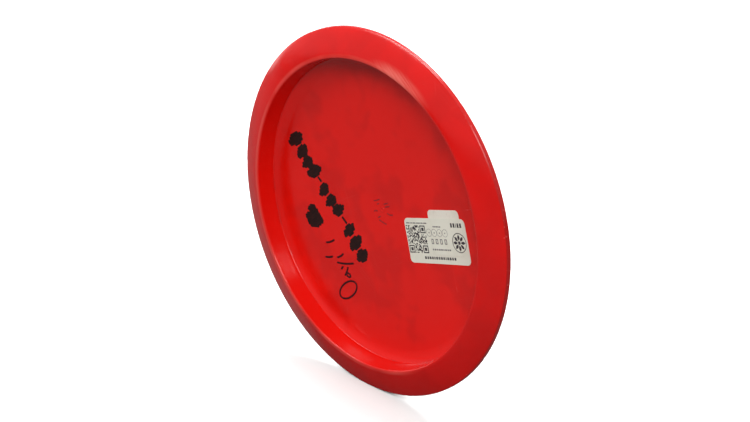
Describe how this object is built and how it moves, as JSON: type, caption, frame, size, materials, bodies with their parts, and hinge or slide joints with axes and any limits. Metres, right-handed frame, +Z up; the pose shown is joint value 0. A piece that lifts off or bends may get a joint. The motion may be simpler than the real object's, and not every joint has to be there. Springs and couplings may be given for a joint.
{
  "type": "golf disc",
  "caption": "Moulded golf disc with a beveled rim, hollow underside, domed flight plate, a shop label and pen marks inside and a foil stamp on top, stored on its edge.",
  "frame": {"origin": "lowest point of the rim's nose, where a disc stored on its edge rests", "axes": "+Z up through the disc's centre, +Y along the disc's axis from the hollow underside to the domed top, so the underside faces -Y"},
  "size_m": [0.2112, 0.0189, 0.2112],
  "materials": {
    "disc_plastic": "gloss",
    "label_paper": "matte",
    "old_label_paper": "matte",
    "marker_ink": "satin",
    "pen_ink": "satin",
    "faint_ink": "matte",
    "stamp_foil": "polished"
  },
  "bodies": {
    "root": {"disc_body": "disc_plastic", "price_label": "label_paper", "old_label": "old_label_paper", "marker_blot_row": "marker_ink", "marker_lone_blot": "marker_ink", "pen_scribble": "pen_ink", "faint_pen_marks": "faint_ink", "foil_stamp": "stamp_foil"}
  },
  "joints": []
}
